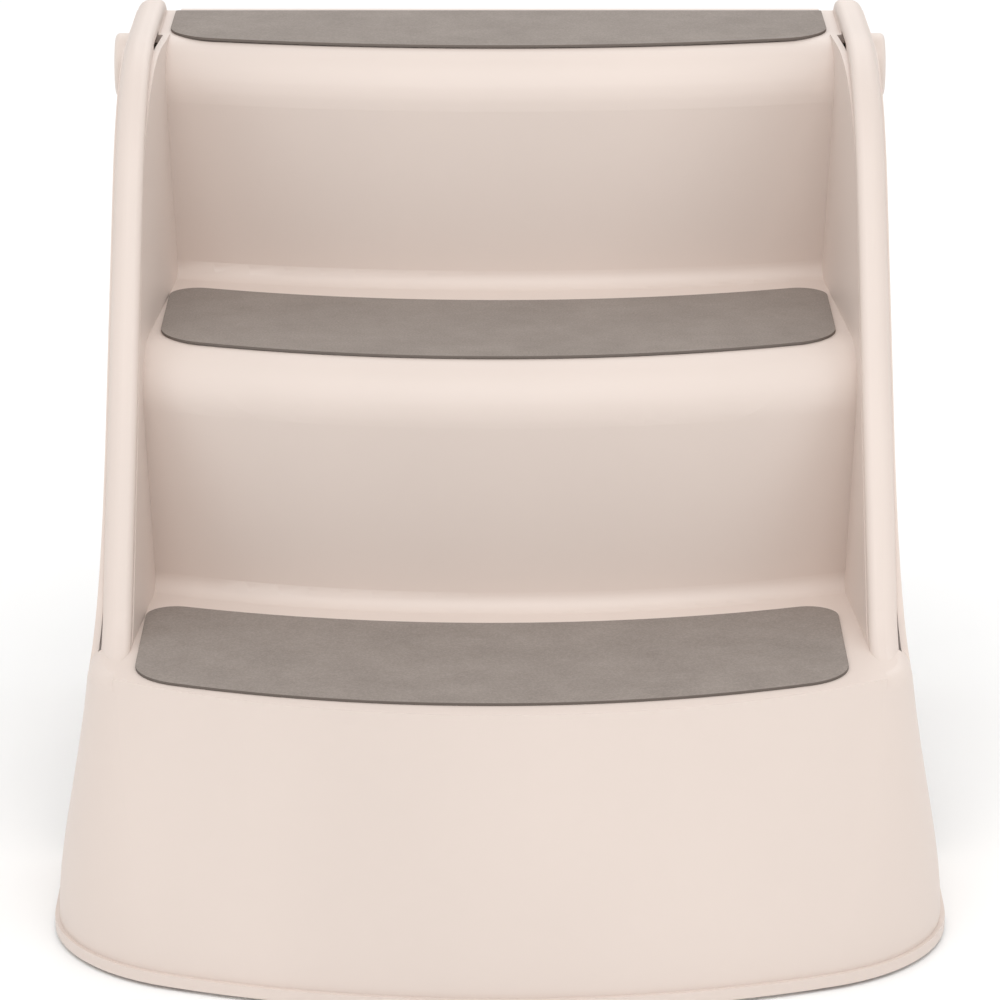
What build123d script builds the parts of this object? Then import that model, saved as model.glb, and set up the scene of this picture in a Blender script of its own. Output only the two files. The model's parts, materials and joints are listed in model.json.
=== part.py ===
from build123d import *
from math import cos, radians, sin, tan
import os

# Three-step folding step unit. Millimetres, +Z up, the front of the steps faces -Y.
# Heights are measured from the floor and y runs back from the first nosing; a node is
# shifted by -middle_y when it is written, so the origin is the middle of the footprint.

# ---- steps ----
first_tread_z = 148.5
step_rise = 127.0
tread_run = 175.0
wall = 3.5
nose_bow_radii = [360.0, 470.0, 650.0]      # plan radius of each nosing and riser
nose_radius = 30.0                          # rounding over the middle and top nosings
first_nose_radius = 8.0
cove_radius = 9.0                           # rounding where a riser meets the tread below

# ---- outer walls: height, front y, front bow, half width front, half width rear, corner ----
base_z = 2.0
flare_sections = [
    (2.0, -10.0, 433.0, 223.5, 229.5, 97.0),
    (68.0, -3.0, 398.0, 217.5, 221.5, 66.0),
    (148.0, 8.0, 360.0, 206.2, 206.5, 34.0),
    (190.0, 10.0, 360.0, 203.6, 203.4, 29.0),
    (230.0, 10.0, 360.0, 203.0, 202.6, 28.0),
]
above_crest = 19.0                          # the upright walls run this far past the rails
shell_rear_y = 493.0
platform_rear_radius = 12.0
base_bead_height = 6.0
base_bead_proud = 2.6

# ---- side rails ----
rail_outer_x = 201.8                        # outer edge of the rail top
rail_width = 15.4
rail_outer_round = 7.5
rail_inner_round = 4.0
rail_depth = 11.5                           # depth of the swept rail top
rail_foot_y = 110.0                         # where the rail slope meets the first tread
rail_slope = 53.5
rail_above_platform = 8.5
rail_foot_radius = 40.0
rail_top_radius = 140.0
rail_rear_radius = 30.0
rail_lower_radius = 24.0
rail_crest_wall = 5.0                       # moulding left under the rail top
side_foot_y = 205.0                         # rear end of the side panel on the floor
side_rear_z = 352.0                         # lower end of the panel's upright rear edge
inner_draft = 0.05                         # the inner walls open upwards
inner_converge = 0.064                      # and close in towards the rear
platform_half_width = 186.0

# ---- stiffening ribs under the treads ----
rib_thickness = 3.0
rib_depth = 9.0
rib_places = [-96.0, -32.0, 32.0, 96.0]

# ---- tread pads ----
pad_thickness = 1.6
pad_corner_front = 32.0
pad_corner_back = 15.0
pad_corner_square = 2.0
pad_half_widths = [178.2, 177.2, 180.0]
pad_shifts = [-4.0, -0.9, -0.8]             # the pads are stuck on a little to the left
pad_front_gaps = [22.0, 26.0, 24.0]         # nosing to front edge at the middle
pad_back_gaps = [27.0, 34.0, 23.0]          # back edge to the next riser or the rear wall
pad_front_bow = [421.0, 450.0, 650.0]
pad_back_bow = [480.0, 492.0, 0.0]          # 0 is a straight edge

# ---- rear leg hinge ----
hinge_y = 455.0
hinge_z = 376.0
hinge_pin_radius = 6.0
running = 0.05
press = 0.02
hinge_hub_radius = 16.3                     # low stand-off behind the round head
hinge_head_radius = 17.8
hinge_head_thickness = 8.2
hinge_head_round = 2.6
hinge_head_x = 213.6                        # outer face of the head
hinge_boss_radius = 17.0
bush_wall = 2.5
bush_flange = 1.2
bush_flange_radius = 12.0
retainer_thickness = 1.6
retainer_radius = 10.0
pin_tail = 3.0

# ---- rear leg ----
leg_lean = 6.0                              # degrees behind upright when open
leg_outer_x = 190.0
leg_width = 24.0
leg_depth = 24.0
leg_pocket = 16.0
leg_wall = 3.5
leg_eye_radius = 14.5
leg_end_z = 4.0
leg_panel_top = 34.0                        # upper tie panel, measured down from the hinge
leg_panel_bottom = 92.0
leg_panel_thickness = 12.0
foot_bar_radius = 10.0
foot_bar_drop = 341.0                       # hinge to the foot bar
boot_wall = 2.5
boot_height = 20.0

# ---- base brace ----
brace_y = 168.0                             # pivot line inside the front block
brace_axle_radius = 10.0
brace_axle_half = 203.0
brace_pin_radius = 6.0
brace_pin_grip = 18.0
brace_boss_radius = 14.0
brace_arm_x = 130.0
brace_arm_width = 20.0
brace_arm_depth = 16.0
brace_slat_places = [80.0, 160.0, 240.0]
brace_slat_length = 14.0
brace_slat_depth = 10.0
hook_wall = 5.0
hook_clearance = 0.3
hook_width = 44.0
hook_open_angle = 45.5                      # way out of the hook, below level, towards the front
hook_tip_angle = 38.0                       # the hook's rear lip ends this far below level

# ---- feet ----
foot_radius = 10.0
foot_stem_radius = 4.0
foot_stem_height = 6.0
foot_spots = {"front": (168.0, 60.0), "rear": (206.0, 182.0)}
foot_shelf_z = 6.0
foot_shelf_thickness = 4.0
foot_shelf_size = 34.0
gap = 0.3
far = 700.0

treads = [first_tread_z + step_rise * k for k in range(3)]
tread_ends = [tread_run, 2 * tread_run, shell_rear_y]
platform_z = treads[2]
crest_z = platform_z + rail_above_platform
lean = radians(leg_lean)
foot_bar_y = hinge_y + foot_bar_drop * sin(lean)
foot_bar_z = hinge_z - foot_bar_drop * cos(lean)
brace_z = foot_bar_z                        # the open brace lies level
leg_inner_x = leg_outer_x - leg_width
panel_x_at_hinge = flare_sections[-1][4]
front_reach = flare_sections[0][1] - base_bead_proud
rear_reach = hinge_y + hinge_z * tan(lean) + (leg_depth / 2 + boot_wall) / cos(lean)
middle_y = (front_reach + rear_reach) / 2


def write(node, *shapes):
    """Move the node to the footprint's middle and write it."""
    body = Compound(children=list(shapes)) if len(shapes) > 1 else shapes[0]
    export_step(Pos(0, -middle_y, 0) * body, f"parts/{node}.step")


def meet(first, *others):
    """Space shared by solids, without the loose faces a touching pair leaves."""
    shared = first
    for other in others:
        shared = shared & other
    return Part() + shared.solids()


def across(radius, x0, x1, y, z):
    """Cylinder across the unit, from x0 to x1."""
    middle = Pos((x0 + x1) / 2, y, z)
    return middle * Rot(0, 90, 0) * Cylinder(radius, abs(x1 - x0))


def outline(section, inset):
    """Plan outline of the outer wall at one height: bowed front, rounded corners."""
    z, front, bow, half_front, half_rear, corner = section
    trapezoid = Polyline(
        (-half_front + inset, front - 60), (half_front - inset, front - 60),
        (half_rear - inset, shell_rear_y + 20), (-half_rear + inset, shell_rear_y + 20),
        close=True)
    face = make_face(trapezoid) & Pos(0, front + bow, 0) * Circle(bow - inset)
    front_corners = face.vertices().sort_by(Axis.Y)[0:2]
    return Pos(0, 0, z) * fillet(front_corners, corner - inset)


def outer_form(inset):
    """Flared outer form of the whole unit up to the rails."""
    sections = [outline(section, inset) for section in flare_sections]
    straight_height = crest_z + above_crest - flare_sections[-1][0]
    form = loft(sections) + extrude(sections[-1], straight_height)
    if inset:
        form = form + extrude(sections[0], -20.0)
    return form


def side_extrude(points, radii):
    """Extrude a y-z outline right across the unit."""
    line = FilletPolyline(*points, radius=radii, close=True)
    face = make_face(Plane.YZ * line)
    return extrude(face, far / 2, both=True)


def crest_points(drop):
    """Corners of the rail's crest line, lowered by drop."""
    slope = radians(rail_slope)
    low_z = first_tread_z - drop
    high_z = crest_z - drop
    foot_y = rail_foot_y + drop * tan(slope / 2)
    top_y = foot_y + (high_z - low_z) / tan(slope)
    return (foot_y, low_z), (top_y, high_z)


def side_form(drop, inset):
    """Side view of the unit below the rail crest; an inset form is open below."""
    foot, top = crest_points(drop)
    rear = shell_rear_y - inset
    points = [(-100, foot[1]), foot, top, (rear, top[1])]
    radii = [0, rail_foot_radius + drop, rail_top_radius - drop, rail_rear_radius - drop]
    if inset:
        points += [(rear, -60), (-100, -60)]
        radii += [0, 0]
    else:
        run = (shell_rear_y - side_foot_y) / (side_rear_z - base_z)
        below = -40.0
        low_y = side_foot_y - (base_z - below) * run
        points += [(rear, side_rear_z), (low_y, below), (-100, below)]
        radii += [rail_lower_radius, 0, 0]
    return side_extrude(points, radii)


def front_block():
    """Bottom step with its rounded top edge."""
    top = side_extrude([(-100, -40), (-100, first_tread_z), (140, first_tread_z),
                        (140, -40)], 0)
    block = meet(outer_form(0), top)
    at_top = block.edges().filter_by(lambda e: abs(e.center().Z - first_tread_z) < 0.05)
    edges = at_top.filter_by(lambda e: e.center().Y < 139)
    return fillet(edges, first_nose_radius)


def rail_tops():
    """Top of both side rails: one rounded profile swept along the crest."""
    foot, top = crest_points(rail_outer_round)
    rear = shell_rear_y - rail_outer_round
    path = FilletPolyline(
        (foot[0] - 25, foot[1]), foot, top, (rear, top[1]), (rear, side_rear_z + 12),
        radius=[rail_foot_radius + rail_outer_round, rail_top_radius - rail_outer_round,
                rail_rear_radius - rail_outer_round])
    path = Plane.YZ * path
    start = Plane(origin=path @ 0, z_dir=path % 0, x_dir=(1, 0, 0))
    centre_x = rail_outer_x - rail_outer_round
    tops = []
    for side in (-1, 1):
        middle = (side * (rail_outer_round - rail_width / 2), rail_depth / 2 - rail_outer_round)
        profile = Pos(*middle) * Rectangle(rail_width, rail_depth)
        upper = profile.vertices().sort_by(Axis.Y)[0:2].sort_by(Axis.X)
        inner, outer = (upper[0], upper[1]) if side > 0 else (upper[1], upper[0])
        profile = fillet([outer], rail_outer_round)
        inner = profile.vertices().sort_by_distance(inner)[0]
        profile = fillet([inner], rail_inner_round)
        rail = sweep(start * profile, path=path)
        tops.append(Pos(side * centre_x, 0, 0) * rail)
    return tops


def riser_cut(k, grow):
    """Space in front of riser k and above the tread below it, with nose and cove."""
    bow = nose_bow_radii[k]
    riser_y = tread_run * k
    low = treads[k - 1]
    high = treads[k]
    inner = bow - nose_radius
    reach = bow + tread_run + 60.0
    behind = inner - (260.0 if k == 2 else 12.0)
    cove = cove_radius + grow
    nose = nose_radius - grow
    centre_y = riser_y + bow

    def at(r, z):
        return (centre_y - r, z)

    cove_centre = at(bow + cove_radius, low + cove_radius)
    nose_centre = at(inner, high - nose_radius)
    lines = [
        Line(at(reach, low - grow), at(bow + cove_radius, low - grow)),
        CenterArc(cove_centre, cove, 270, 90),
        Line(at(bow - grow, low + cove_radius), at(bow - grow, high - nose_radius)),
        CenterArc(nose_centre, nose, 90, 90),
        Line(at(inner, high - grow), at(behind, high - grow)),
        Line(at(behind, high - grow), at(behind, platform_z + 90)),
        Line(at(behind, platform_z + 90), at(reach, platform_z + 90)),
        Line(at(reach, platform_z + 90), at(reach, low - grow)),
    ]
    face = Plane.YZ * make_face(lines)
    axis = Axis((0, centre_y, 0), (0, 0, 1))
    spread = 40.0
    return revolve(face.rotate(axis, -spread), axis, 2 * spread)


def inner_walls(grow):
    """Space between the leaning inner walls of the rails."""
    crest_foot_z = first_tread_z + 23.1
    crest_foot_y = rail_foot_y + 18.3
    rail_inner = rail_outer_x - rail_width

    def half(y, z):
        lean = inner_draft * (z - crest_foot_z)
        return rail_inner + lean - inner_converge * (y - crest_foot_y) + grow

    def section(y):
        low, high = 60.0, platform_z + 100
        return make_face(Polyline(
            (-half(y, low), y, low), (half(y, low), y, low),
            (half(y, high), y, high), (-half(y, high), y, high), close=True))

    return loft([section(-60.0), section(620.0)])


def platform_cut(grow):
    """Space above the platform between the low lips of the rails."""
    width = 2 * (platform_half_width + grow)
    front = tread_run * 2 - 40
    block = Pos(0, front + 200, platform_z - grow + 60) * Box(width, 400, 120)
    return block


def step_channel(grow):
    """Everything above the treads and between the rails."""
    cuts = riser_cut(1, grow) + riser_cut(2, grow)
    channel = meet(cuts, inner_walls(grow))
    arc_bow = nose_bow_radii[2]
    behind_nose = Pos(0, tread_run * 2 + arc_bow, platform_z) * Cylinder(
        arc_bow - nose_radius + grow, 300)
    return channel + meet(platform_cut(grow), behind_nose)


def stair_core(grow, spread):
    """Body of the stairs between the rails, below the treads by grow."""
    rear = shell_rear_y - grow
    run = (shell_rear_y - side_foot_y) / (side_rear_z - base_z)
    low_y = side_foot_y - (base_z + 40.0) * run
    points = [(0, -40), (0, platform_z - grow), (rear, platform_z - grow)]
    if grow:
        points += [(rear, -40)]
        radii = [0, 0, max(platform_rear_radius - grow, 0), 0]
    else:
        points += [(rear, side_rear_z), (low_y, -40)]
        radii = [0, 0, platform_rear_radius, rail_lower_radius, 0]
    block = meet(side_extrude(points, radii), inner_walls(spread), outer_form(grow))
    return block - riser_cut(1, grow) - riser_cut(2, grow)


def base_bead():
    """Small outturned bead round the foot of the outer wall."""
    low = flare_sections[0]
    ring = offset(outline(low, 0), base_bead_proud) - outline(low, wall / 2)
    bead = extrude(ring, base_bead_height)
    reach = side_foot_y + 80.0
    room = Pos(0, side_foot_y - 2 - reach / 2, base_z) * Box(far, reach, 40)
    return meet(bead, room)


def tread_ribs():
    """Ribs that stiffen the treads and risers from below."""
    deep = stair_core(wall / 2, 0) - stair_core(wall + rib_depth, 0)
    deep = meet(deep, stair_core(0, 0))
    slabs = [Pos(x, 250, 200) * Box(rib_thickness, 600, 500) for x in rib_places]
    return [meet(deep, slab) for slab in slabs]


def hinge_bosses():
    inner = leg_outer_x + bush_flange + gap
    skin = outer_form(wall / 2)
    return [meet(across(hinge_boss_radius, side * inner, side * 230, hinge_y, hinge_z), skin)
            for side in (-1, 1)]


def brace_bosses():
    inner = brace_axle_half + gap
    skin = outer_form(wall / 2)
    return [meet(across(brace_boss_radius, side * inner, side * 250, brace_y, brace_z), skin)
            for side in (-1, 1)]


def foot_shelves():
    skin = outer_form(wall / 2)
    middle = foot_shelf_z + foot_shelf_thickness / 2
    shelves = []
    for x, y in foot_spots.values():
        for side in (-1, 1):
            shelf = Pos(side * (x + 30), y - 14, middle) * Box(
                foot_shelf_size + 60, foot_shelf_size + 28, foot_shelf_thickness)
            hole = Pos(side * x, y, middle) * Cylinder(foot_stem_radius + running, 20)
            shelves.append(meet(shelf, skin) - hole)
    return shelves


def step_shell():
    """Steps, rails and side panels in one moulding, open below and behind."""
    rails = front_block() + meet(outer_form(0), side_form(rail_outer_round, 0))
    rails = rails - step_channel(0)
    for top in rail_tops():
        rails = rails + top
    outer = rails + stair_core(0, wall - 0.5)
    hollow = meet(outer_form(wall), side_form(rail_crest_wall, wall))
    hollow = hollow - step_channel(wall)
    block_room = meet(outer_form(wall), side_extrude(
        [(-100, -60), (-100, first_tread_z - wall), (120, first_tread_z - wall), (120, -60)],
        0))
    hollow = hollow + stair_core(wall, wall - 0.5) + block_room
    shell = outer - hollow
    shell = shell + base_bead()
    for piece in tread_ribs() + hinge_bosses() + brace_bosses() + foot_shelves():
        shell = shell + piece
    bore = hinge_pin_radius + running
    shell = shell - across(bore, -250, 250, hinge_y, hinge_z)
    grip = brace_axle_half + gap + brace_pin_grip - 4
    for side in (-1, 1):
        shell = shell - across(brace_pin_radius + running, side * 190, side * grip,
                               brace_y, brace_z)
    return shell


def tread_pad(k):
    half = pad_half_widths[k]
    front = k * tread_run + pad_front_gaps[k]
    back = tread_ends[k] - pad_back_gaps[k]
    bow = pad_front_bow[k]
    face = Pos(0, front + 150) * Rectangle(2 * half, 500)
    face = face & (Pos(0, front + bow) * Circle(bow))
    if pad_back_bow[k]:
        face = face - Pos(0, back + pad_back_bow[k]) * Circle(pad_back_bow[k])
        back_corner = pad_corner_back
    else:
        face = face & Pos(0, back - 300) * Rectangle(far, 600)
        back_corner = pad_corner_square
    corners = face.vertices().sort_by(Axis.Y)
    corners = [v for v in corners if abs(v.X) > half - 1]
    face = fillet(corners[0:2], pad_corner_front)
    corners = [v for v in face.vertices().sort_by(Axis.Y)[-2:]]
    face = fillet(corners, back_corner)
    return Pos(pad_shifts[k], 0, treads[k]) * extrude(face, pad_thickness)


def hinge_pin(side):
    """Pin with a low stand-off and a large round head outside the panel."""
    tail = leg_inner_x - bush_flange - retainer_thickness - pin_tail
    head_in = hinge_head_x - hinge_head_thickness
    hub_in = panel_x_at_hinge + gap
    shaft = across(hinge_pin_radius, side * tail, side * head_in, hinge_y, hinge_z)
    hub = across(hinge_hub_radius, side * hub_in, side * head_in, hinge_y, hinge_z)
    head = across(hinge_head_radius, side * head_in, side * hinge_head_x, hinge_y, hinge_z)
    rim = head.edges().filter_by(GeomType.CIRCLE).sort_by(lambda e: abs(e.center().X))
    head = fillet(rim[-1], hinge_head_round)
    return shaft + hub + head


def flanged_bush(side, radius, face_x, length, y, z):
    """Plain bush with a flange on its outer end."""
    outer = radius + running + bush_wall
    sleeve = across(outer, side * (face_x - length), side * face_x, y, z)
    flange = across(bush_flange_radius, side * face_x, side * (face_x + bush_flange), y, z)
    bore = across(radius + running, side * (face_x - length - 5), side * (face_x + 5), y, z)
    return sleeve + flange - bore


def hinge_bush(side):
    return flanged_bush(side, hinge_pin_radius, leg_outer_x, leg_width, hinge_y, hinge_z)


def hinge_retainer(side):
    """Split ring that holds the pin on the inner side of the leg."""
    x0 = leg_inner_x - gap
    x1 = x0 - retainer_thickness
    ring = across(retainer_radius, side * x0, side * x1, hinge_y, hinge_z)
    ring = ring - across(hinge_pin_radius + press, side * (x0 + 5), side * (x1 - 5),
                         hinge_y, hinge_z)
    slot = Pos(side * (x0 + x1) / 2, hinge_y - retainer_radius, hinge_z) * Box(
        20, 2 * retainer_radius, 5)
    return ring - slot


def down_leg(x, along, depth):
    """Place on the open leg: along it from the hinge, and behind its centre line."""
    return Pos(x, hinge_y, hinge_z) * Rot(leg_lean, 0, 0) * Pos(0, depth, -along)


def leg_floor_cut(z):
    return Pos(0, foot_bar_y, z - 60) * Box(far, 300, 120)


def upright(side):
    x = side * (leg_outer_x - leg_width / 2)
    length = (hinge_z - leg_end_z) / cos(lean) + 10
    beam = down_leg(x, length / 2, 0) * Box(leg_width, leg_depth, length)
    eye = across(leg_eye_radius, side * leg_inner_x, side * leg_outer_x, hinge_y, hinge_z)
    pocket_length = foot_bar_drop - 60
    pocket = down_leg(x, 30 + pocket_length / 2, leg_wall) * Box(
        leg_width - 2 * leg_wall, leg_depth, pocket_length)
    return (beam + eye - pocket) - leg_floor_cut(leg_end_z)


def rear_leg_frame():
    """Two channelled uprights, an upper tie panel and a round foot bar."""
    span = leg_inner_x + 1
    frame = upright(-1) + upright(1)
    panel_height = leg_panel_bottom - leg_panel_top
    along = (leg_panel_bottom + leg_panel_top) / 2
    panel = down_leg(0, along, 0) * Box(2 * span, leg_panel_thickness, panel_height)
    for k in range(-2, 3):
        window = down_leg(k * 62.0, along, leg_wall) * Box(
            54, leg_panel_thickness, panel_height - 2 * leg_wall)
        panel = panel - window
    frame = frame + panel + across(foot_bar_radius, -span, span, foot_bar_y, foot_bar_z)
    bore = hinge_pin_radius + running + bush_wall + press
    return frame - across(bore, -far, far, hinge_y, hinge_z)


def leg_boot(side):
    """Rubber cup on the end of an upright."""
    x = side * (leg_outer_x - leg_width / 2)
    along = (hinge_z - leg_end_z) / cos(lean)
    outer = down_leg(x, along, 0) * Box(
        leg_width + 2 * boot_wall, leg_depth + 2 * boot_wall, 2 * boot_height)
    inner = down_leg(x, along, 0) * Box(
        leg_width + 2 * press, leg_depth + 2 * press, 3 * boot_height)
    inner = inner - leg_floor_cut(leg_end_z)
    return outer - inner - leg_floor_cut(0)


def hook(side):
    """Hook over the foot bar, open towards the front and below."""
    inner = foot_bar_radius + hook_clearance
    outer = inner + hook_wall
    x0 = side * brace_arm_x - hook_width / 2
    x1 = side * brace_arm_x + hook_width / 2
    body = across(outer, x0, x1, foot_bar_y, foot_bar_z)
    neck = Pos(side * brace_arm_x, foot_bar_y - outer, foot_bar_z) * Box(
        brace_arm_width, 2 * outer, brace_arm_depth)
    below = Pos(side * brace_arm_x, foot_bar_y, foot_bar_z) * Rot(-hook_tip_angle, 0, 0)
    lip_cut = below * Pos(0, 25, -25) * Box(2 * hook_width, 50, 50)
    return body + neck - lip_cut


def bar_path():
    """Room that the foot bar sweeps as the brace lifts off it."""
    half = foot_bar_radius + hook_clearance
    reach = 60.0
    centre = Pos(0, foot_bar_y, foot_bar_z)
    slot = centre * Rot(hook_open_angle, 0, 0) * Pos(0, -reach / 2, 0) * Box(far, reach, 2 * half)
    return slot + across(half, -far / 2, far / 2, foot_bar_y, foot_bar_z)


def base_brace():
    """Pivot tube, two arms with cross slats, and a hook on each arm."""
    brace = across(brace_axle_radius, -brace_axle_half, brace_axle_half, brace_y, brace_z)
    length = foot_bar_y - brace_y - foot_bar_radius - 4
    for side in (-1, 1):
        arm = Pos(side * brace_arm_x, brace_y + length / 2, brace_z) * Box(
            brace_arm_width, length, brace_arm_depth)
        brace = brace + arm + hook(side)
    for place in brace_slat_places:
        brace = brace + Pos(0, brace_y + place, brace_z) * Box(
            2 * brace_arm_x, brace_slat_length, brace_slat_depth)
    brace = brace - bar_path()
    for side in (-1, 1):
        brace = brace - across(
            brace_pin_radius + running + bush_wall + press,
            side * (brace_axle_half - brace_pin_grip), side * far, brace_y, brace_z)
    return brace


def brace_bush(side):
    radius = brace_pin_radius + running
    sleeve = across(radius + bush_wall, side * (brace_axle_half - brace_pin_grip),
                    side * brace_axle_half, brace_y, brace_z)
    return sleeve - across(radius, side * 150, side * far, brace_y, brace_z)


def brace_pin(side):
    """Pin pressed into the panel boss, with its free end in the pivot tube."""
    return across(brace_pin_radius, side * (brace_axle_half - brace_pin_grip + 2),
                  side * (brace_axle_half + gap + brace_pin_grip - 4.5), brace_y, brace_z)


def rubber_foot(side, spot):
    x, y = foot_spots[spot]
    pad = Pos(side * x, y, foot_shelf_z / 2) * Cylinder(foot_radius, foot_shelf_z)
    pad = fillet(pad.edges().group_by(Axis.Z)[0], 1.0)
    stem = Pos(side * x, y, foot_shelf_z + foot_stem_height / 2) * Cylinder(
        foot_stem_radius, foot_stem_height)
    return pad + stem


if __name__ == "__main__":
    os.makedirs("parts", exist_ok=True)
    write("step_shell", step_shell())
    for k, name in enumerate(("lower", "middle", "upper")):
        write(f"tread_pad_{name}", tread_pad(k))
    write("rear_leg_frame", rear_leg_frame())
    write("base_brace", base_brace())
    for side, word in ((-1, "left"), (1, "right")):
        write(f"hinge_pin_{word}", hinge_pin(side))
        write(f"hinge_bush_{word}", hinge_bush(side))
        write(f"hinge_retainer_{word}", hinge_retainer(side))
        write(f"leg_boot_{word}", leg_boot(side))
        write(f"brace_pin_{word}", brace_pin(side))
        write(f"brace_bush_{word}", brace_bush(side))
        for spot in foot_spots:
            write(f"foot_{spot}_{word}", rubber_foot(side, spot))
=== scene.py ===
import bpy
import json
import math
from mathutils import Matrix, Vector


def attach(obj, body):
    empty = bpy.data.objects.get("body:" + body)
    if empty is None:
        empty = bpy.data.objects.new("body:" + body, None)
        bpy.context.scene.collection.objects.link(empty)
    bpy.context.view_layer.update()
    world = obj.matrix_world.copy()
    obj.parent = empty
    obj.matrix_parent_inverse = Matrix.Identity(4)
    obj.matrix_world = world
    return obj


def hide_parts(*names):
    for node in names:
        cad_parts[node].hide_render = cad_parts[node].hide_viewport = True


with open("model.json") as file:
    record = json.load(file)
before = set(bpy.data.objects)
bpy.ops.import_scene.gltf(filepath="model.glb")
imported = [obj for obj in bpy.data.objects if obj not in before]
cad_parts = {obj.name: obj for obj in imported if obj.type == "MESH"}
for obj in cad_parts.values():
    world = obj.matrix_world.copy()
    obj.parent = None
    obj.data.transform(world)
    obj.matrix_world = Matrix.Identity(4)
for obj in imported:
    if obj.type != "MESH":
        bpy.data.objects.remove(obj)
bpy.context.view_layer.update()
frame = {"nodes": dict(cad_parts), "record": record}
print("frame loaded,", len(frame["nodes"]), "nodes")


class Value:
    # wraps a node's output, so that sums on it add Math nodes
    def __init__(self, recipe, socket):
        self.recipe = recipe
        self.socket = socket

    def maths(self, operation, first, second):
        return self.recipe.node("ShaderNodeMath", {"operation": operation}, {0: first, 1: second})

    def __add__(self, other):
        return self.maths("ADD", self, other)

    def __radd__(self, other):
        return self.maths("ADD", other, self)

    def __mul__(self, other):
        return self.maths("MULTIPLY", self, other)

    def __rmul__(self, other):
        return self.maths("MULTIPLY", other, self)


class Recipe:
    # one material: its nodes, and the shader they end in
    def __init__(self, name):
        self.material = bpy.data.materials.new(name)
        self.material.use_nodes = True
        self.tree = self.material.node_tree
        self.tree.nodes.clear()
        self.place = self.node("ShaderNodeTexCoord", {}, {}, "Object")

    def node(self, kind, settings, inputs, output=0):
        made = self.tree.nodes.new(kind)
        for key, value in settings.items():
            if key == "stops":
                self.setStops(made.color_ramp, value)
            else:
                setattr(made, key, value)
        for key, value in inputs.items():
            if isinstance(value, Value):
                self.tree.links.new(value.socket, made.inputs[key])
            else:
                made.inputs[key].default_value = value
        return Value(self, made.outputs[output] if made.outputs else None)

    def setStops(self, ramp, stops):
        while len(ramp.elements) < len(stops):
            ramp.elements.new(1.0)
        for element, (position, shade) in zip(ramp.elements, stops):
            element.position = position
            element.color = (shade, shade, shade, 1)

    def noise(self, scale, detail=3.0, roughness=0.5, stretch=(1, 1, 1)):
        place = self.node("ShaderNodeMapping", {}, {"Vector": self.place, "Scale": stretch})
        return self.node("ShaderNodeTexNoise", {}, {
            "Vector": place, "Scale": scale, "Detail": detail, "Roughness": roughness})

    def ramp(self, value, stops):
        return self.node("ShaderNodeValToRGB", {"stops": stops}, {"Fac": value})

    def blendColours(self, factor, first, second):
        return self.node("ShaderNodeMix", {"data_type": "RGBA"}, {
            0: factor, 6: (*first, 1) if isinstance(first, tuple) else first,
            7: (*second, 1) if isinstance(second, tuple) else second}, 2)

    def relief(self, height, distance, strength=1.0, under=None):
        inputs = {"Height": height, "Distance": distance, "Strength": strength}
        if under:
            inputs["Normal"] = under
        return self.node("ShaderNodeBump", {}, inputs)

    def finish(self, **inputs):
        shader = self.node("ShaderNodeBsdfPrincipled", {}, inputs)
        self.node("ShaderNodeOutputMaterial", {}, {"Surface": shader})
        return self.material


# the finishes
plasticLook = {
    "shell": (0.700, 0.602, 0.545),
    "frame": (0.665, 0.570, 0.515),
    "pin": (0.700, 0.610, 0.555),
    "tintSpread": 0.035,
    "cloudScale": 5.0,
    "waveScale": 18.0,
    "waveDepth": 0.0004,
    "scuffScale": 70.0,
    "grainSize": 0.0006,
    "grainDepth": 0.00002,
    "shellRoughness": 0.40,
    "frameRoughness": 0.46,
    "pinRoughness": 0.38,
}


def mouldedPlastic(name, colour, grainDepth, roughness):
    recipe = Recipe(name)
    spread = plasticLook["tintSpread"]
    lighter = tuple(c * (1 + spread) for c in colour)
    darker = tuple(c * (1 - spread) for c in colour)
    flow = recipe.noise(plasticLook["cloudScale"], 2.0, 0.5, (1, 1, 0.4))
    cloud = recipe.ramp(flow, [(0.3, 0.0), (0.7, 1.0)])
    tint = recipe.blendColours(cloud, darker, lighter)
    grain = recipe.noise(1 / plasticLook["grainSize"], 2.0, 0.6)
    waves = recipe.noise(plasticLook["waveScale"], 1.0, 0.4)
    scratched = recipe.noise(plasticLook["scuffScale"], 6.0, 0.7, (1, 0.25, 1))
    scuffs = recipe.ramp(scratched, [(0.55, 0.0), (0.75, 1.0)])
    gloss = roughness + grain * 0.05 + waves * 0.05 + scuffs * 0.04
    soft = recipe.relief(waves, plasticLook["waveDepth"], 0.25)
    normal = recipe.relief(grain, grainDepth, 1.0, soft)
    return recipe.finish(**{
        "Base Color": tint, "Roughness": gloss, "Normal": normal, "IOR": 1.49})


gritLook = {
    "dark": (0.215, 0.182, 0.160),
    "pale": (0.315, 0.270, 0.240),
    # edge: painted shade colour laid on the pads' side walls
    "edge": (0.150, 0.126, 0.110),
    "mottleScale": 38.0,
    "grainSize": 0.0011,
    "grainDepth": 0.00012,
    "roughness": 0.78,
}


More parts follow.
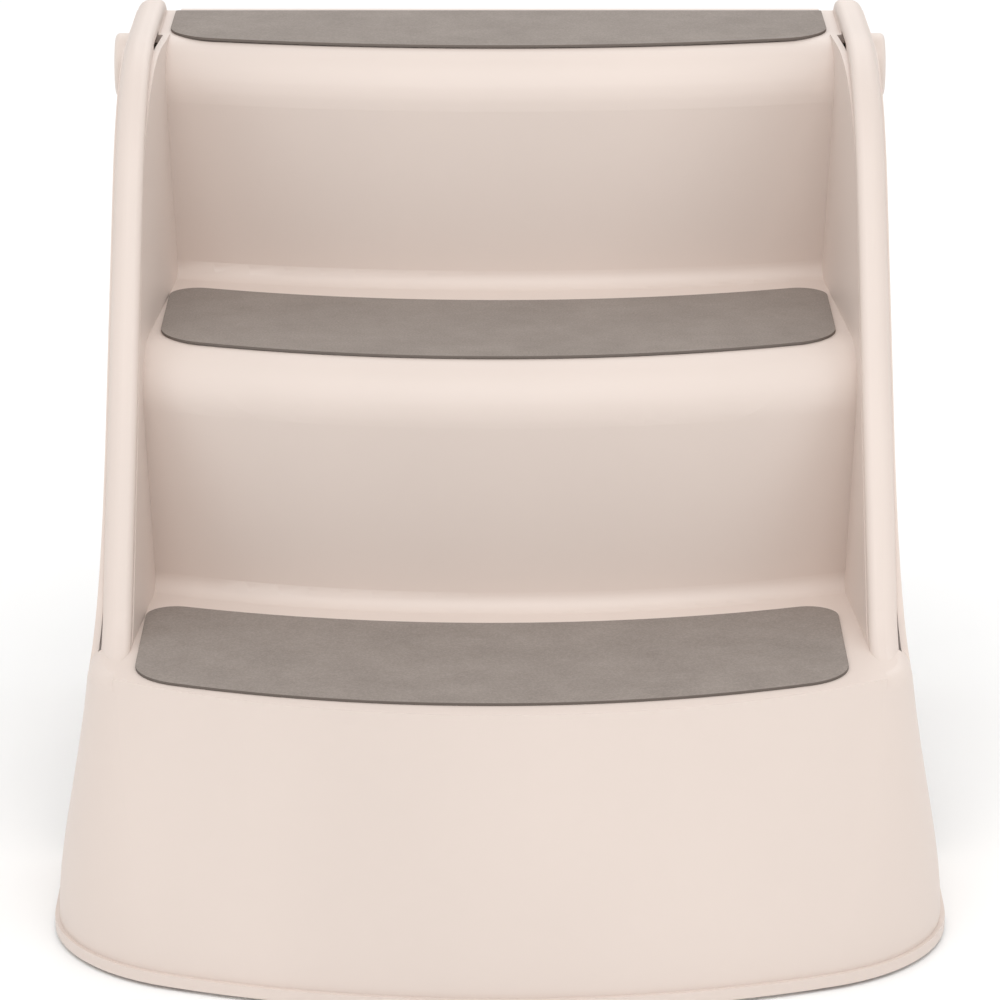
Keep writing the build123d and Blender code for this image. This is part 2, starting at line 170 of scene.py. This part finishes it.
def gritSheet():
    recipe = Recipe("grit_sheet")
    mottle = recipe.ramp(recipe.noise(gritLook["mottleScale"], 5.0, 0.65), [(0.3, 0.0), (0.7, 1.0)])
    grain = recipe.noise(1 / gritLook["grainSize"], 3.0, 0.75)
    specks = recipe.ramp(grain, [(0.42, 0.0), (0.62, 1.0)])
    body = recipe.blendColours(mottle * 0.45 + specks * 0.55, gritLook["dark"], gritLook["pale"])
    # painted shade: pad faces that do not point up (the side walls) are blended toward the darker
    # edge colour
    facing = recipe.node("ShaderNodeNewGeometry", {}, {}, "Normal")
    upward = recipe.node("ShaderNodeSeparateXYZ", {}, {"Vector": facing}, "Z")
    paintedSideShade = recipe.ramp(upward, [(0.25, 1.0), (0.8, 0.0)])
    colour = recipe.blendColours(paintedSideShade, body, gritLook["edge"])
    normal = recipe.relief(grain, gritLook["grainDepth"], 0.8)
    gloss = gritLook["roughness"] + grain * 0.14
    return recipe.finish(**{"Base Color": colour, "Roughness": gloss, "Normal": normal})


rubberLook = {
    "colour": (0.120, 0.104, 0.094),
    "dust": (0.19, 0.17, 0.155),
    "dustScale": 90.0,
    "grainScale": 1500.0,
    "grainDepth": 0.00004,
    "roughness": 0.62,
}


def mouldedRubber():
    recipe = Recipe("moulded_rubber")
    dust = recipe.ramp(recipe.noise(rubberLook["dustScale"], 5.0, 0.7), [(0.5, 0.0), (0.8, 1.0)])
    colour = recipe.blendColours(dust * 0.6, rubberLook["colour"], rubberLook["dust"])
    grain = recipe.noise(rubberLook["grainScale"], 2.0, 0.6)
    normal = recipe.relief(grain, rubberLook["grainDepth"], 0.9)
    gloss = rubberLook["roughness"] + dust * 0.2
    return recipe.finish(**{"Base Color": colour, "Roughness": gloss, "Normal": normal})


nylonLook = {
    "dark": (0.72, 0.70, 0.64),
    "pale": (0.80, 0.78, 0.72),
    "cloudScale": 120.0,
    "roughness": 0.30,
}


def bushNylon():
    recipe = Recipe("bush_nylon")
    cloud = recipe.noise(nylonLook["cloudScale"], 2.0, 0.5)
    colour = recipe.blendColours(cloud, nylonLook["dark"], nylonLook["pale"])
    gloss = nylonLook["roughness"] + cloud * 0.12
    return recipe.finish(**{"Base Color": colour, "Roughness": gloss})


steelLook = {
    "dark": (0.50, 0.50, 0.51),
    "pale": (0.62, 0.62, 0.63),
    "brushScale": 900.0,
    "brushDepth": 0.00002,
    "roughness": 0.22,
}


def springSteel():
    recipe = Recipe("spring_steel")
    brushed = recipe.noise(steelLook["brushScale"], 3.0, 0.6, (0.05, 1, 1))
    colour = recipe.blendColours(brushed, steelLook["dark"], steelLook["pale"])
    gloss = steelLook["roughness"] + brushed * 0.2
    normal = recipe.relief(brushed, steelLook["brushDepth"], 0.6)
    return recipe.finish(**{
        "Base Color": colour, "Roughness": gloss, "Normal": normal, "Metallic": 1.0})


def plasticFor(part, grainTimes):
    return mouldedPlastic(f"{part}_plastic", plasticLook[part],
                          grainTimes * plasticLook["grainDepth"], plasticLook[f"{part}Roughness"])


finishes = {
    "shell_plastic": plasticFor("shell", 1),
    "frame_plastic": plasticFor("frame", 2),
    "pin_plastic": plasticFor("pin", 1),
    "tread_pad": gritSheet(),
    "foot_rubber": mouldedRubber(),
    "bush_nylon": bushNylon(),
    "retainer_steel": springSteel(),
}
print("materials made:", len(finishes))


# pieces worked up from the CAD nodes
bodyOf = {}
for bodyName, members in frame["record"]["behaviour"]["bodies"].items():
    for member in members:
        bodyOf[member] = bodyName
slotOf = {row["node"]: row["material_slot"] for row in frame["record"]["subparts"]}


def only(piece):
    bpy.ops.object.select_all(action="DESELECT")
    piece.hide_viewport = False
    piece.select_set(True)
    bpy.context.view_layer.objects.active = piece


def paint(piece, slotName):
    piece.data.materials.clear()
    piece.data.materials.append(finishes[slotName])


def applyModifier(piece, kind, **settings):
    only(piece)
    modifier = piece.modifiers.new(kind.lower(), kind)
    for key, value in settings.items():
        setattr(modifier, key, value)
    bpy.ops.object.modifier_apply(modifier=modifier.name)


workUpSet = {"weld": 0.000002, "flat": 0.2, "crease": 32.0, "segments": 2, "weight": 90}


def workUp(nodeName, pieceName, edge):
    # a merged copy of the node with small rounded edges and clean shading
    crease = math.radians(workUpSet["crease"])
    node = frame["nodes"][nodeName]
    piece = node.copy()
    piece.data = node.data.copy()
    piece.name = pieceName
    piece.data.name = pieceName
    piece.parent = None
    for key in list(piece.keys()):
        del piece[key]
    bpy.context.scene.collection.objects.link(piece)
    only(piece)
    bpy.ops.object.mode_set(mode="EDIT")
    bpy.ops.mesh.select_all(action="SELECT")
    bpy.ops.mesh.remove_doubles(threshold=workUpSet["weld"])
    bpy.ops.mesh.dissolve_limited(angle_limit=math.radians(workUpSet["flat"]))
    bpy.ops.object.mode_set(mode="OBJECT")
    applyModifier(piece, "BEVEL", width=edge, segments=workUpSet["segments"], limit_method="ANGLE",
                  angle_limit=crease, harden_normals=False, miter_outer="MITER_ARC")
    only(piece)
    bpy.ops.object.shade_smooth_by_angle(angle=crease)
    applyModifier(piece, "WEIGHTED_NORMAL", keep_sharp=True, weight=workUpSet["weight"])
    paint(piece, slotOf[nodeName])
    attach(piece, bodyOf[nodeName])
    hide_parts(nodeName)
    return piece


edges = {
    "rear_leg_frame": 0.0007,
    "base_brace": 0.0007,
    "leg_boot": 0.0006,
    "tread_pad": 0.0003,
}
for level in ("lower", "middle", "upper"):
    workUp(f"tread_pad_{level}", f"grit_pad_{level}", edges["tread_pad"])
workUp("rear_leg_frame", "folding_leg", edges["rear_leg_frame"])
workUp("base_brace", "folding_brace", edges["base_brace"])
for side in ("left", "right"):
    workUp(f"leg_boot_{side}", f"rubber_boot_{side}", edges["leg_boot"])
for name, node in frame["nodes"].items():
    if not node.hide_render:   # the rest keep their own mesh and take only a finish
        paint(node, slotOf[name])
print("pieces worked up")


# floor, light and camera
floorLook = {
    "colour": (0.95, 0.95, 0.945),
    "size": 14.0,
    "wallHeight": 7.0,
    "curve": 2.5,
    "curveSegments": 16,
    "roughness": 0.7,
}


def studioFloor():
    bpy.ops.object.select_all(action="DESELECT")
    bpy.ops.mesh.primitive_plane_add(size=floorLook["size"], location=(0, 0, 0))
    floor = bpy.context.object
    floor.name = "studio_floor"
    bpy.ops.object.mode_set(mode="EDIT")
    bpy.ops.mesh.select_all(action="DESELECT")
    bpy.ops.object.mode_set(mode="OBJECT")
    for edge in floor.data.edges:
        edge.select = all(floor.data.vertices[v].co.y > 0 for v in edge.vertices)
    bpy.ops.object.mode_set(mode="EDIT")
    bpy.ops.mesh.select_mode(type="EDGE")
    bpy.ops.mesh.extrude_region_move(
        TRANSFORM_OT_translate={"value": (0, 0, floorLook["wallHeight"])})
    bpy.ops.object.mode_set(mode="OBJECT")
    applyModifier(floor, "BEVEL", width=floorLook["curve"], segments=floorLook["curveSegments"],
                  limit_method="ANGLE")
    only(floor)
    bpy.ops.object.shade_smooth()
    recipe = Recipe("pale_floor")
    cloud = recipe.noise(0.8, 2.0, 0.5)
    low = tuple(0.99 * c for c in floorLook["colour"])
    colour = recipe.blendColours(cloud, low, floorLook["colour"])
    look = {"Base Color": colour, "Roughness": floorLook["roughness"]}
    floor.data.materials.append(recipe.finish(**look))


lightAim = (0, 0, 0.2)
skyStrength = 0.80
lights = [
    {"name": "high_front", "place": (0.0, -1.9, 3.4), "size": 3.0, "power": 52.0},
    {"name": "left_wing", "place": (-2.6, -1.6, 1.8), "size": 2.0, "power": 9.0},
    {"name": "right_wing", "place": (2.6, -1.6, 1.8), "size": 2.0, "power": 9.0},
    {"name": "back_fill", "place": (0.4, 2.8, 2.4), "size": 2.4, "power": 20.0},
]


def studioLights():
    for light in lights:
        data = bpy.data.lights.new(light["name"], "AREA")
        data.shape = "SQUARE"
        data.size = light["size"]
        data.energy = light["power"]
        lamp = bpy.data.objects.new(light["name"], data)
        bpy.context.scene.collection.objects.link(lamp)
        lamp.location = light["place"]
        aim = Vector(lightAim) - lamp.location
        lamp.rotation_euler = aim.to_track_quat("-Z", "Y").to_euler()
    world = bpy.data.worlds.new("studio")
    bpy.context.scene.world = world
    world.use_nodes = True
    sky = world.node_tree.nodes["Background"]
    sky.inputs["Color"].default_value = (1.0, 1.0, 1.0, 1)
    sky.inputs["Strength"].default_value = skyStrength


cameraSet = {
    "back": 2.58525,
    "height": 0.965,
    "pitch": 73.22,
    "lens": 183.85,
    "sensor": 36.0,
    "farthest": 50.0,
}


def studioCamera():
    data = bpy.data.cameras.new("camera")
    data.lens = cameraSet["lens"]
    data.sensor_width = cameraSet["sensor"]
    data.clip_end = cameraSet["farthest"]
    camera = bpy.data.objects.new("camera", data)
    camera.location = (0, -cameraSet["back"], cameraSet["height"])
    camera.rotation_euler = (math.radians(cameraSet["pitch"]), 0, 0)
    bpy.context.scene.collection.objects.link(camera)
    bpy.context.scene.camera = camera


studioFloor()
studioLights()
studioCamera()
bpy.context.scene.view_settings.view_transform = "Standard"
print("stage set")
